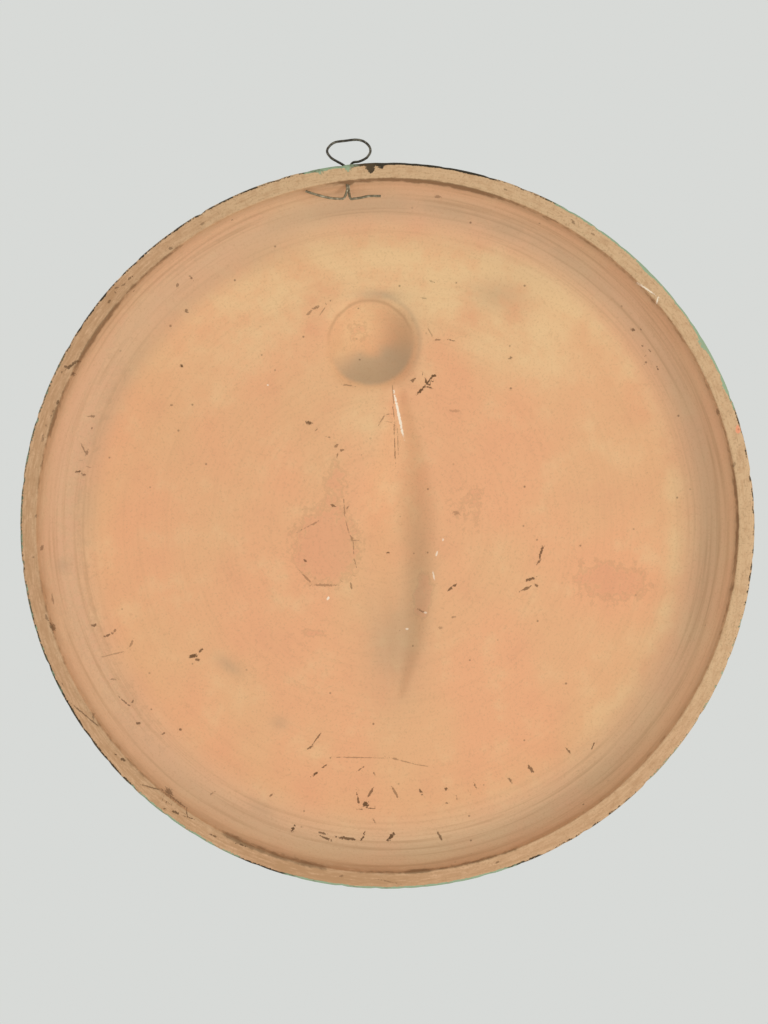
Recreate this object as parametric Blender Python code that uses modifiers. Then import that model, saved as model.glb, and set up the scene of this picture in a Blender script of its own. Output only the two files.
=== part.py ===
"""Round terracotta wall plaque with a wire hanger, its open back towards the wall.

Units are metres, +Z is up and the open back of the dish faces -Y.
The origin is where the wire loop bears on the nail: the inner top of the loop.
Everything is modelled in the plaque's own frame, on an empty at the centre of its rim:
X runs right, Y runs up, and Z runs out of the back, so the front of the plaque is at -Z.
"""

import math

import bmesh
import bpy
import numpy as np

# Clay body: a thrown and pressed dish with a flat rim, a little wider than it is high
PLAQUE_WIDTH = 0.400
PLAQUE_HEIGHT = 0.3957
RIM_WIDTH = 0.0090
RIM_CORNER = 0.0012
SIDE_HEIGHT = 0.0060
DISH_DEPTH = 0.0320
FLOOR_THICKNESS = 0.0100
INNER_SQUARENESS = 9.0
OUTER_SQUARENESS = 8.0
DISH_STEPS = 84
PROFILE_STEPS = 8

# Ring moulding near the edge of the front
RING_INSET = 0.0330
RING_HALF_WIDTH = 0.0042
RING_HEIGHT = 0.0032

# Round hollow in the back and the flower over it; places are shares of half the width and height
FLOWER_PLACE = (-0.047, 0.516)
ROUND_HOLLOW_RADIUS = 0.0245
ROUND_HOLLOW_DEPTH = 0.0150
BOSS_EDGE = 0.0055
BOSS_WALL = 0.0110
PETAL_COUNT = 13
PETAL_LENGTH = 0.0290
PETAL_HALF_WIDTH = 0.0086
PETAL_HEIGHT = 0.0075
PETAL_OVERLAP = 0.0045

# Long hollow in the back and the leaf over it; each point has its share of the half width
LONG_HOLLOW_SPINE = [
    (0.030, 0.364, 0.25),
    (0.038, 0.220, 0.62),
    (0.025, 0.070, 1.00),
    (0.040, -0.100, 0.88),
    (0.045, -0.240, 0.70),
    (0.043, -0.355, 0.50),
    (0.030, -0.470, 0.20),
]
LONG_HOLLOW_HALF_WIDTH = 0.0240
LONG_HOLLOW_DEPTH = 0.0090
HOLLOW_SECTION = [(0.0, 1.0), (0.40, 0.88), (0.72, 0.52), (1.0, -0.05)]
LEAF_TOP = (0.010, 0.400, 0.35)
LEAF_TIP = (0.000, -0.640, 0.04)
LEAF_EDGE = 0.0080
LEAF_WALL = 0.0110

# Side leaves, which spring from the foot of the long leaf; the left one mirrors the right one
SIDE_LEAF_SPINE = [
    (0.030, -0.660, 0.10),
    (0.230, -0.570, 0.70),
    (0.440, -0.380, 1.00),
    (0.560, -0.110, 0.80),
    (0.585, 0.200, 0.04),
]
SIDE_LEAF_HALF_WIDTH = 0.0230
SIDE_LEAF_HEIGHT = 0.0085
LEAF_SECTION = [(0.0, 1.0), (0.09, 0.80), (0.45, 0.66), (0.80, 0.34), (1.0, -0.10)]
SPAN_STATIONS = 4
RELIEF_ROOT = 0.0040

# Wire hanger, bent double through a hole in the side wall, and the hole that it passes through
WIRE_DIAMETER = 0.0014
WIRE_GAP = 0.0004
HOLE_CLEARANCE = 0.0006
HOLE_PLACE = -0.0216
HOLE_INSET = 0.0080
LOOP_RISE = 0.0142
LOOP_LEFT = 0.0113
LOOP_RIGHT = 0.0123
LOOP_LEAN = 0.0020
LOOP_SHAPE = [
    (-0.25, 0.10),
    (-0.72, 0.25),
    (-1.00, 0.50),
    (-0.95, 0.72),
    (-0.68, 0.87),
    (-0.25, 0.94),
    (0.25, 1.00),
    (0.68, 0.94),
    (0.96, 0.73),
    (1.00, 0.52),
    (0.80, 0.27),
    (0.50, 0.16),
    (0.20, 0.10),
]
LEG_DROP = 0.0064
LEG_TIP_INSET = 0.0035
LEFT_LEG = 0.0230
RIGHT_LEG = 0.0180
LEFT_LEG_SHAPE = [(0.08, -0.40, 0.00), (0.35, -0.20, 0.27), (0.68, 0.45, 0.70), (1.00, 1.00, 1.00)]
RIGHT_LEG_SHAPE = [(0.10, -0.40, 0.00), (0.40, -0.25, 0.10), (0.70, 0.00, 0.27), (1.00, 0.00, 0.44)]
WIRE_STATIONS = 3

# Colours as linear red, green, blue and alpha
CLAY_COLOUR = (0.60, 0.36, 0.20, 1.0)
STEEL_COLOUR = (0.07, 0.06, 0.05, 1.0)

half_width = PLAQUE_WIDTH / 2
half_height = PLAQUE_HEIGHT / 2
front_depth = DISH_DEPTH + FLOOR_THICKNESS
wire_radius = WIRE_DIAMETER / 2


def reset_scene():
    for item in list(bpy.data.objects):
        bpy.data.objects.remove(item, do_unlink=True)


def make_collection(name):
    group = bpy.data.collections.new(name)
    bpy.context.scene.collection.children.link(group)
    return group


def make_material(name, colour, roughness, metallic):
    material = bpy.data.materials.new(name)
    material.use_nodes = True
    shader = material.node_tree.nodes["Principled BSDF"]
    shader.inputs["Base Color"].default_value = colour
    shader.inputs["Roughness"].default_value = roughness
    shader.inputs["Metallic"].default_value = metallic
    return material


def add_object(name, data, group, parent):
    item = bpy.data.objects.new(name, data)
    group.objects.link(item)
    item.parent = parent
    return item


def add_form(name, data, group, parent):
    """A form that is only joined to the clay or cut from it."""
    item = add_object(name, data, group, parent)
    item.hide_render = True
    item.display_type = "WIRE"
    return item


def smooth_path(points, stations):
    """Catmull-Rom curve through the points, with that many steps between each two."""
    knots = np.array(points, dtype=float)
    knots = np.vstack([2 * knots[0] - knots[1], knots, 2 * knots[-1] - knots[-2]])
    share = np.linspace(0.0, 1.0, stations, endpoint=False)[:, None]
    spans = []
    for before, start, end, after in zip(knots, knots[1:], knots[2:], knots[3:]):
        bend = 2 * start + (end - before) * share
        bend = bend + (2 * before - 5 * start + 4 * end - after) * share**2
        bend = bend + (3 * start - before - 3 * end + after) * share**3
        spans.append(bend / 2)
    return np.vstack([*spans, knots[-2:-1]])


def bowl_profile(radius, rim_depth, floor_depth, squareness):
    """Points from rim to axis where (r / radius)^squareness + (share of depth)^2 = 1."""
    turns = np.linspace(0.0, math.pi / 2, PROFILE_STEPS, endpoint=False)
    radii = radius * np.cos(turns) ** (2 / squareness)
    depths = rim_depth + (floor_depth - rim_depth) * np.sin(turns)
    return [*zip(radii, depths), (0.0, floor_depth)]


def bowl_radius(radius, depth_share, squareness):
    """Radius of the same profile at a share of its depth."""
    return radius * (1 - depth_share**2) ** (1 / squareness)


def bowl_depth(radius):
    """Depth of the front's surface below the rim's plane at a radius."""
    share = math.sqrt(1 - (radius / half_width) ** OUTER_SQUARENESS)
    return SIDE_HEIGHT + (front_depth - SIDE_HEIGHT) * share


def edge_height(radius, x):
    """Height above the plaque's centre, at x, of the oval that has this half width."""
    return half_height * radius / half_width * math.sqrt(1 - (x / radius) ** 2)


def ring_profile():
    """Half-round section of the moulding, from its outer foot to its inner foot."""
    points = []
    for turn in np.linspace(0.0, math.pi, 5):
        radius = half_width - RING_INSET + RING_HALF_WIDTH * math.cos(turn)
        points.append((radius, bowl_depth(radius) + RING_HEIGHT * math.sin(turn)))
    return points


def plaque_section():
    """Half section of the dish: floor, inner wall, rim, outer wall, ring moulding, front."""
    inner = bowl_profile(half_width - RIM_WIDTH, 0.0, DISH_DEPTH, INNER_SQUARENESS)
    outer = bowl_profile(half_width, SIDE_HEIGHT, front_depth, OUTER_SQUARENESS)
    corner = [(half_width - RIM_CORNER, 0.0), (half_width, RIM_CORNER)]
    ring = ring_profile()
    outside = [point for point in outer if point[0] > ring[0][0]]
    inside = [point for point in outer if point[0] < ring[-1][0]]
    return [*reversed(inner), *corner, *outside, *ring, *inside]


def make_plaque(group, parent, material):
    section = plaque_section()
    mesh = bpy.data.meshes.new("plaque")
    vertices = [(radius, 0.0, -depth) for radius, depth in section]
    edges = [(index, index + 1) for index in range(len(section) - 1)]
    mesh.from_pydata(vertices, edges, [])
    mesh.materials.append(material)
    plaque = add_object("plaque", mesh, group, parent)
    plaque.scale.y = PLAQUE_HEIGHT / PLAQUE_WIDTH
    turn = plaque.modifiers.new("turn", "SCREW")
    turn.steps = DISH_STEPS
    turn.render_steps = DISH_STEPS
    turn.use_merge_vertices = True
    turn.merge_threshold = 0.0001
    return plaque


def add_ball(name, group, parent, centre, radii, turn, segments, rings):
    """An ellipsoid, turned about Z."""
    mesh = bpy.data.meshes.new(name)
    ball = bmesh.new()
    bmesh.ops.create_uvsphere(ball, u_segments=segments, v_segments=rings, radius=1.0)
    ball.to_mesh(mesh)
    ball.free()
    item = add_form(name, mesh, group, parent)
    item.location = centre
    item.scale = radii
    item.rotation_euler.z = turn


def flower_centre(depth):
    return (FLOWER_PLACE[0] * half_width, FLOWER_PLACE[1] * half_height, -depth)


def make_flower(group, parent):
    """A domed boss over the round hollow, ringed by petals half sunk in the front."""
    boss_radius = ROUND_HOLLOW_RADIUS + BOSS_EDGE
    boss_height = ROUND_HOLLOW_DEPTH + BOSS_WALL - FLOOR_THICKNESS
    centre = flower_centre(front_depth)
    add_ball("boss", group, parent, centre, (boss_radius, boss_radius, boss_height), 0.0, 24, 12)
    reach = boss_radius - PETAL_OVERLAP + PETAL_LENGTH / 2
    for index in range(PETAL_COUNT):
        angle = math.tau * index / PETAL_COUNT
        place = (centre[0] + reach * math.cos(angle), centre[1] + reach * math.sin(angle), centre[2])
        radii = (PETAL_LENGTH / 2, PETAL_HALF_WIDTH, PETAL_HEIGHT)
        add_ball(f"petal_{index + 1}", group, parent, place, radii, angle, 12, 8)


def lofted_form(name, spine, size, height, ground, section, root):
    """A closed bar along a flat spine, domed towards the front from the ground plane.

    The spine's points are shares of the plaque's half sizes, with a share of the bar's own
    half width; the section is half an outline, as shares of that half width and the height.
    """
    path = smooth_path(spine, SPAN_STATIONS) * (half_width, half_height, 1.0)
    heading = np.gradient(path[:, :2], axis=0)
    heading = heading / np.linalg.norm(heading, axis=1)[:, None]
    halves = [(-across, rise) for across, rise in reversed(section[1:])]
    outline = [*halves, *section]
    bar = bmesh.new()
    rings = []
    for (x, y, swell), (run, climb) in zip(path, heading):
        corners = [(across * size * swell, ground + rise * height * swell) for across, rise in outline]
        corners = [*corners, (corners[-1][0], ground - root), (corners[0][0], ground - root)]
        rings.append([bar.verts.new((x - climb * side, y + run * side, -depth)) for side, depth in corners])
    for first, second in zip(rings, rings[1:]):
        for index in range(len(first)):
            bar.faces.new((first[index - 1], first[index], second[index], second[index - 1]))
    bar.faces.new(rings[0])
    bar.faces.new(rings[-1])
    bmesh.ops.recalc_face_normals(bar, faces=bar.faces)
    mesh = bpy.data.meshes.new(name)
    bar.to_mesh(mesh)
    bar.free()
    return mesh


def make_leaves(group, parent):
    """The long leaf over the long hollow, and a leaf on each side of it."""
    spine = [LEAF_TOP, *LONG_HOLLOW_SPINE[1:-1], LEAF_TIP]
    size = LONG_HOLLOW_HALF_WIDTH + LEAF_EDGE
    height = LONG_HOLLOW_DEPTH + LEAF_WALL - FLOOR_THICKNESS
    mesh = lofted_form("long_leaf", spine, size, height, front_depth, LEAF_SECTION, RELIEF_ROOT)
    add_form("long_leaf", mesh, group, parent)
    mirrored = [(-x, y, swell) for x, y, swell in SIDE_LEAF_SPINE]
    for name, side_spine in (("right_leaf", SIDE_LEAF_SPINE), ("left_leaf", mirrored)):
        mesh = lofted_form(
            name, side_spine, SIDE_LEAF_HALF_WIDTH, SIDE_LEAF_HEIGHT, front_depth, LEAF_SECTION, RELIEF_ROOT
        )
        add_form(name, mesh, group, parent)


def make_hollows(group, parent):
    """The round and long hollows, pressed into the floor from behind."""
    radii = (ROUND_HOLLOW_RADIUS, ROUND_HOLLOW_RADIUS, ROUND_HOLLOW_DEPTH)
    add_ball("round_hollow", group, parent, flower_centre(DISH_DEPTH), radii, 0.0, 24, 12)
    mesh = lofted_form(
        "long_hollow",
        LONG_HOLLOW_SPINE,
        LONG_HOLLOW_HALF_WIDTH,
        LONG_HOLLOW_DEPTH,
        DISH_DEPTH,
        HOLLOW_SECTION,
        DISH_DEPTH / 2,
    )
    add_form("long_hollow", mesh, group, parent)


def make_wire_hole(group, parent):
    """A round hole up through the side wall, wide enough for both strands."""
    radius = WIRE_DIAMETER + WIRE_GAP / 2 + HOLE_CLEARANCE
    length = 6 * RIM_WIDTH
    mesh = bpy.data.meshes.new("wire_hole")
    drill = bmesh.new()
    bmesh.ops.create_cone(drill, cap_ends=True, segments=16, radius1=radius, radius2=radius, depth=length)
    drill.to_mesh(mesh)
    drill.free()
    hole = add_form("wire_hole", mesh, group, parent)
    hole.rotation_euler.x = math.pi / 2
    hole.location = (HOLE_PLACE, edge_height(half_width, HOLE_PLACE), -HOLE_INSET)


def leg_points(length, shape, bend, tip):
    """Points from the bend outwards; each gives shares of the length, the rise and the inset."""
    points = []
    for along, rise, forward in shape:
        inset = HOLE_INSET + forward * (LEG_TIP_INSET - HOLE_INSET)
        points.append((HOLE_PLACE + along * length, bend + rise * (tip - bend), -inset))
    return points


def loop_points(mouth):
    """The loop's points, from its left foot over the top to its right foot."""
    points = []
    for across, rise in LOOP_SHAPE:
        reach = LOOP_LEFT if across < 0 else LOOP_RIGHT
        points.append((HOLE_PLACE + across * reach, mouth + rise * LOOP_RISE, LOOP_LEAN * rise - HOLE_INSET))
    return points


def wire_route():
    """Centre line: left leg's tip, up through the hole, round the loop, down, right leg's tip."""
    inner_radius = half_width - RIM_WIDTH
    hole_radius = bowl_radius(inner_radius, HOLE_INSET / DISH_DEPTH, INNER_SQUARENESS)
    tip_radius = bowl_radius(inner_radius, LEG_TIP_INSET / DISH_DEPTH, INNER_SQUARENESS)
    mouth = edge_height(half_width, HOLE_PLACE)
    inside = edge_height(hole_radius, HOLE_PLACE)
    bend = inside - LEG_DROP
    tip = edge_height(tip_radius, HOLE_PLACE - LEFT_LEG) - wire_radius - WIRE_GAP
    strand = (WIRE_DIAMETER + WIRE_GAP) / 2
    rises = ((bend + inside) / 2, inside, mouth)
    left_leg = leg_points(-LEFT_LEG, LEFT_LEG_SHAPE, bend, tip)
    right_leg = leg_points(RIGHT_LEG, RIGHT_LEG_SHAPE, bend, tip)
    left_strand = [(HOLE_PLACE - strand, rise, -HOLE_INSET) for rise in rises]
    right_strand = [(HOLE_PLACE + strand, rise, -HOLE_INSET) for rise in reversed(rises)]
    loop = loop_points(mouth)
    return smooth_path([*reversed(left_leg), *left_strand, *loop, *right_strand, *right_leg], WIRE_STATIONS)


def make_wire(group, parent, material):
    route = wire_route()
    curve = bpy.data.curves.new("hanging_wire", "CURVE")
    curve.dimensions = "3D"
    curve.bevel_depth = wire_radius
    curve.bevel_resolution = 2
    curve.use_fill_caps = True
    curve.materials.append(material)
    spline = curve.splines.new("POLY")
    spline.points.add(len(route) - 1)
    for point, place in zip(spline.points, route):
        point.co = (*place, 1.0)
    add_object("hanging_wire", curve, group, parent)


def join_forms(plaque, name, operation, group):
    joint = plaque.modifiers.new(name, "BOOLEAN")
    joint.operation = operation
    joint.solver = "EXACT"
    joint.operand_type = "COLLECTION"
    joint.collection = group


def bearing_point():
    """Inner top of the loop, where it rests on the nail, in the plaque's frame."""
    top_across, top_rise = max(LOOP_SHAPE, key=lambda point: point[1])
    x = HOLE_PLACE + top_across * LOOP_RIGHT
    y = edge_height(half_width, HOLE_PLACE) + top_rise * LOOP_RISE - wire_radius
    return x, y, LOOP_LEAN * top_rise - HOLE_INSET


def shade_round(item):
    item.data.shade_smooth()
    item.data.set_sharp_from_angle(angle=math.radians(35))


reset_scene()
parts = make_collection("wall_plaque")
relief = make_collection("relief_forms")
hollows = make_collection("cutters")
bear_x, bear_y, bear_z = bearing_point()
centre = bpy.data.objects.new("plaque_centre", None)
parts.objects.link(centre)
centre.rotation_euler.x = math.pi / 2
centre.location = (-bear_x, bear_z, -bear_y)
clay = make_material("terracotta", CLAY_COLOUR, 0.9, 0.0)
steel = make_material("dark_steel", STEEL_COLOUR, 0.5, 1.0)
body = make_plaque(parts, centre, clay)
make_flower(relief, centre)
make_leaves(relief, centre)
make_hollows(hollows, centre)
make_wire_hole(hollows, centre)
join_forms(body, "relief", "UNION", relief)
join_forms(body, "hollows", "DIFFERENCE", hollows)
shade_round(body)
make_wire(parts, centre, steel)
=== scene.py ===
"""Looks of the terracotta wall plaque, seen from its open back with its wire hanger."""

import math
from types import SimpleNamespace

import bpy
import numpy as np
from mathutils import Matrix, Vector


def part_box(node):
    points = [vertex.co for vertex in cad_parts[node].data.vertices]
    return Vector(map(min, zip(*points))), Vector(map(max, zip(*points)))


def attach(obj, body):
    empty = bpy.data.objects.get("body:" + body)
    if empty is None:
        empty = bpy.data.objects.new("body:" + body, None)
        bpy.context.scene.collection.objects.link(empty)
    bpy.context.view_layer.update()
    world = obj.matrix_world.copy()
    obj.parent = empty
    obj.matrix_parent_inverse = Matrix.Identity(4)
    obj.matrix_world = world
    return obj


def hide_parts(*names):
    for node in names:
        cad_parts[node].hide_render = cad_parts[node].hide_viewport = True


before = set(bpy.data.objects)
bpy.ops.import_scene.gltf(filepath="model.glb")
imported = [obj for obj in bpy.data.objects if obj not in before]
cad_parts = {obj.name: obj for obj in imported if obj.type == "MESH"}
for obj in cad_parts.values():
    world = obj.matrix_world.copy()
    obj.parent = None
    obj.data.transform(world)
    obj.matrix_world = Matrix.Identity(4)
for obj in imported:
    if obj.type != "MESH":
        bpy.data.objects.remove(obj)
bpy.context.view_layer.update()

# Plaque: one piece of thrown and pressed terracotta, a shallow dish with a flat rim.
# The back is bare clay with two hollows pressed behind the relief, and old dirt on it; shade and a highlight
# are painted into its colour by the rim and the hollows.
# The front was painted, and its paint runs over the rim's outer corner.
MM = 0.001
plaque_low, plaque_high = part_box("plaque")
CENTRE_X = (plaque_low.x + plaque_high.x) / 2
CENTRE_Z = (plaque_low.z + plaque_high.z) / 2
RIM_Y = plaque_low.y
HALF_WIDTH = (plaque_high.x - plaque_low.x) / 2
HALF_HEIGHT = (plaque_high.z - plaque_low.z) / 2
RIM_WIDTH = 9.0 * MM
RIM_CORNER = 1.2 * MM
SIDE_HEIGHT = 6.0 * MM
DISH_DEPTH = 32.0 * MM
FRONT_DEPTH = 42.0 * MM
INNER_SQUARENESS = 9.0
OUTER_SQUARENESS = 8.0
COLUMNS = 400
ROWS = 248
PROFILE_STEPS = 500
RIM_CLOSENESS = 2.6
RIM_CLOSE_REACH = 9.0 * MM
SIDE_CLOSENESS = 0.25
SIDE_CLOSE_REACH = 60.0 * MM

FLOWER_X = -0.047 * HALF_WIDTH
FLOWER_Y = 0.516 * HALF_HEIGHT
ROUND_HOLLOW_RADIUS = 24.5 * MM
ROUND_HOLLOW_DEPTH = 15.0 * MM
EDGE_SOFTNESS = 0.12
LIP_HEIGHT = 0.6 * MM
LIP_PLACE = 1.16
LIP_HALF_WIDTH = 0.08
LIP_HEADING = math.radians(40)
SPINE_STATIONS = 8
LONG_HOLLOW_SPINE = [
    (0.030, 0.364, 0.25),
    (0.038, 0.220, 0.62),
    (0.025, 0.070, 1.00),
    (0.040, -0.100, 0.88),
    (0.045, -0.240, 0.70),
    (0.043, -0.355, 0.50),
    (0.030, -0.470, 0.20),
]
LONG_HOLLOW_HALF_WIDTH = 24.0 * MM
LONG_HOLLOW_DEPTH = 9.0 * MM

RING_RADIUS = 167.0 * MM
RING_HALF_WIDTH = 4.2 * MM
RING_HEIGHT = 3.2 * MM
BOSS_RADIUS = 30.0 * MM
BOSS_HEIGHT = 15.3 * MM
SEED_HEIGHT = 0.5 * MM
SEED_PITCH = 5.0 * MM
SEED_ROWS = 22
SEEDED_SHARE = 0.93
PETAL_COUNT = 13
PETAL_REACH = 40.0 * MM
PETAL_HALF_LENGTH = 14.5 * MM
PETAL_HALF_WIDTH = 8.6 * MM
PETAL_HEIGHT = 7.5 * MM
PETAL_GROOVE = 1.1 * MM
LEAF_SPINE = [(0.010, 0.400, 0.35), *LONG_HOLLOW_SPINE[1:-1], (0.000, -0.640, 0.04)]
LEAF_HALF_WIDTH = 32.0 * MM
LEAF_HEIGHT = 10.0 * MM
SIDE_LEAF_SPINE = [
    (0.030, -0.660, 0.10),
    (0.230, -0.570, 0.70),
    (0.440, -0.380, 1.00),
    (0.560, -0.110, 0.80),
    (0.585, 0.200, 0.04),
]
SIDE_LEAF_HALF_WIDTH = 23.0 * MM
SIDE_LEAF_HEIGHT = 8.5 * MM
LEAF_SECTION = [(0.0, 1.0), (0.09, 0.80), (0.45, 0.66), (0.80, 0.34), (1.0, -0.10)]
VEIN_PITCH = 11.0 * MM
VEIN_SLANT = 0.9
VEIN_DEPTH = 0.45 * MM
JOIN_SOFTNESS = 0.5 * MM
FAR_BELOW = -20 * JOIN_SOFTNESS


def smooth_path(points, stations):
    """Catmull-Rom curve through the points, with that many steps between each two."""
    knots = np.array(points, dtype=float)
    knots = np.vstack([2 * knots[0] - knots[1], knots, 2 * knots[-1] - knots[-2]])
    share = np.linspace(0.0, 1.0, stations, endpoint=False)[:, None]
    spans = []
    for before, start, end, after in zip(knots, knots[1:], knots[2:], knots[3:]):
        bend = 2 * start + (end - before) * share
        bend = bend + (2 * before - 5 * start + 4 * end - after) * share**2
        bend = bend + (3 * start - before - 3 * end + after) * share**3
        spans.append(bend / 2)
    return np.vstack([*spans, knots[-2:-1]])


def smooth_step(value, low, high):
    """0 below low and 1 above high, easing in and out between them."""
    share = np.clip((value - low) / (high - low), 0.0, 1.0)
    return share * share * (3 - 2 * share)


def dish_section():
    """Half section from the back's middle to the front's, as rows of radius and depth.

    Each side is (r / radius)^squareness + (share of depth)^2 = 1. The corners are worn round
    by a running mean along the line, and rows lie closest together on the rim.
    """
    turns = np.linspace(0.0, math.pi / 2, PROFILE_STEPS)
    inner_radius = (HALF_WIDTH - RIM_WIDTH) * np.cos(turns) ** (2 / INNER_SQUARENESS)
    outer_radius = HALF_WIDTH * np.cos(turns) ** (2 / OUTER_SQUARENESS)
    outer_depth = SIDE_HEIGHT + (FRONT_DEPTH - SIDE_HEIGHT) * np.sin(turns)
    radii = [inner_radius[::-1], [HALF_WIDTH - RIM_CORNER, HALF_WIDTH], outer_radius]
    depths = [DISH_DEPTH * np.sin(turns)[::-1], [0.0, RIM_CORNER], outer_depth]
    line = np.column_stack([np.concatenate(radii), np.concatenate(depths)])
    line[0, 0] = 0.0
    line[-1, 0] = 0.0
    run = np.concatenate([[0.0], np.cumsum(np.hypot(*np.diff(line, axis=0).T))])
    step = 0.1 * MM
    even = np.arange(0.0, run[-1], step)
    radius = np.interp(even, run, line[:, 0])
    depth = np.interp(even, run, line[:, 1])
    reach = 20
    blur = 6.0
    window = np.exp(-0.5 * (np.arange(-reach, reach + 1) / blur) ** 2)
    window = window / window.sum()
    padded_radius = np.pad(radius, reach, mode="reflect", reflect_type="odd")
    padded_depth = np.pad(depth, reach, mode="reflect")
    radius = np.convolve(padded_radius, window, mode="valid")
    depth = np.convolve(padded_depth, window, mode="valid")
    rim_run = run[PROFILE_STEPS]
    rim_gap = np.abs(even - rim_run + RIM_WIDTH / 2)
    closeness = 1.0 + RIM_CLOSENESS * np.exp(-((rim_gap / RIM_CLOSE_REACH) ** 4))
    closeness = closeness + SIDE_CLOSENESS * np.exp(-((rim_gap / SIDE_CLOSE_REACH) ** 2))
    count = np.cumsum(closeness)
    picks = np.interp(np.linspace(count[0], count[-1], ROWS), count, even)
    return np.interp(picks, even, radius), np.interp(picks, even, depth), picks > rim_run


def waves(angle, seed, orders, size):
    """A sum of sines round the plaque, with seeded phases, between plus and minus size."""
    random = np.random.default_rng(seed)
    total = np.zeros_like(angle)
    for order in orders:
        total = total + np.sin(order * angle + random.uniform(0, math.tau)) / len(orders)
    return size * total


def ripples(x, y, seed, pitch, count):
    """Soft unevenness of hand-worked clay: crossing sine waves of about this pitch, from -1 to 1."""
    random = np.random.default_rng(seed)
    total = np.zeros_like(x)
    for _ in range(count):
        heading = random.uniform(0, math.tau)
        length = pitch * random.uniform(0.7, 1.5)
        phase = random.uniform(0, math.tau)
        total = total + np.sin(math.tau * (x * math.cos(heading) + y * math.sin(heading)) / length + phase)
    return total / count


def across_path(x, y, spine):
    """Distance of each point from a spine, the run along it, and the spine's swell there."""
    path = smooth_path(spine, SPINE_STATIONS) * (HALF_WIDTH, HALF_HEIGHT, 1.0)
    start = path[:-1]
    step = np.diff(path, axis=0)
    length = np.hypot(step[:, 0], step[:, 1])
    run = np.concatenate([[0.0], np.cumsum(length)[:-1]])
    gap_x = x[:, None] - start[:, 0]
    gap_y = y[:, None] - start[:, 1]
    share = np.clip((gap_x * step[:, 0] + gap_y * step[:, 1]) / length**2, 0.0, 1.0)
    distance = np.hypot(gap_x - share * step[:, 0], gap_y - share * step[:, 1])
    nearest = distance.argmin(axis=1)
    rows = np.arange(len(x))
    share = share[rows, nearest]
    swell = start[nearest, 2] + share * step[nearest, 2]
    return distance[rows, nearest], run[nearest] + share * length[nearest], swell


def hollow_depth(x, y):
    """How far the two hollows are pressed into the floor.

    The round one is a bowl, depth * (1 - (distance / radius)^2) with a soft edge, squarer below,
    less a low lip round its upper right. The long one is a trough with a raised cosine for its
    section, as wide and deep as the spine's swell says.
    """
    gap_x = (x - FLOWER_X) / ROUND_HOLLOW_RADIUS
    gap_y = (y - FLOWER_Y) / ROUND_HOLLOW_RADIUS
    squarer = np.cbrt(np.abs(gap_x) ** 3 + np.abs(gap_y) ** 3)
    gap = np.where(gap_y < 0, squarer, np.hypot(gap_x, gap_y))
    heading = np.arctan2(gap_y, gap_x)
    bowl = ROUND_HOLLOW_DEPTH * EDGE_SOFTNESS * np.logaddexp(0.0, (1 - gap**2) / EDGE_SOFTNESS)
    lip = smooth_step(np.cos(heading - LIP_HEADING), 0.0, 0.9)
    bowl = bowl - LIP_HEIGHT * lip * np.exp(-(((gap - LIP_PLACE) / LIP_HALF_WIDTH) ** 2))
    distance, _, swell = across_path(x, y, LONG_HOLLOW_SPINE)
    share = np.clip(distance / (LONG_HOLLOW_HALF_WIDTH * np.maximum(swell, 0.05)), 0.0, 1.0)
    trough = LONG_HOLLOW_DEPTH * swell * (0.5 + 0.5 * np.cos(math.pi * share))
    return bowl + trough


def leaf_height(x, y, spine, half_width, height):
    """A leaf: its section is carried along the spine, with a midrib and slanting side veins.

    The veins are their depth * cos(tau * (run / pitch - slant * share of the half width)).
    """
    distance, run, swell = across_path(x, y, spine)
    share = distance / (half_width * np.maximum(swell, 0.02))
    places, rises = np.array(LEAF_SECTION).T
    body = height * swell * np.interp(share, places, rises)
    veins = np.cos(math.tau * (run / VEIN_PITCH - VEIN_SLANT * share))
    groove = smooth_step(share, 0.12, 0.25) * (1 - smooth_step(share, 0.75, 0.95))
    body = body + VEIN_DEPTH * groove * veins * np.minimum(1.0, 1.5 * swell)
    return np.where(share < 1.0, body, FAR_BELOW)


def flower_height(x, y):
    """A domed, seeded boss and a ring of grooved petals, each petal half an ellipsoid."""
    gap_x = x - FLOWER_X
    gap_y = y - FLOWER_Y
    gap = np.hypot(gap_x, gap_y)
    heading = np.arctan2(gap_y, gap_x)
    dome = 1 - (gap / BOSS_RADIUS) ** 2
    seeds = SEED_HEIGHT * np.cos(math.tau * gap / SEED_PITCH) * np.cos(heading * SEED_ROWS)
    seeds = seeds * (gap < SEEDED_SHARE * BOSS_RADIUS)
    boss = np.where(dome > 0, BOSS_HEIGHT * np.sqrt(np.maximum(dome, 0)) + seeds, FAR_BELOW)
    turn = math.tau / PETAL_COUNT
    fold = heading - turn * np.round(heading / turn)
    along = gap * np.cos(fold) - PETAL_REACH
    across = gap * np.sin(fold)
    inside = 1 - (along / PETAL_HALF_LENGTH) ** 2 - (across / PETAL_HALF_WIDTH) ** 2
    groove = PETAL_GROOVE * np.exp(-((across / PETAL_GROOVE) ** 2))
    petal = (PETAL_HEIGHT - groove) * np.sqrt(np.maximum(inside, 0))
    return boss, np.where(inside > 0, petal, FAR_BELOW)


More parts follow.
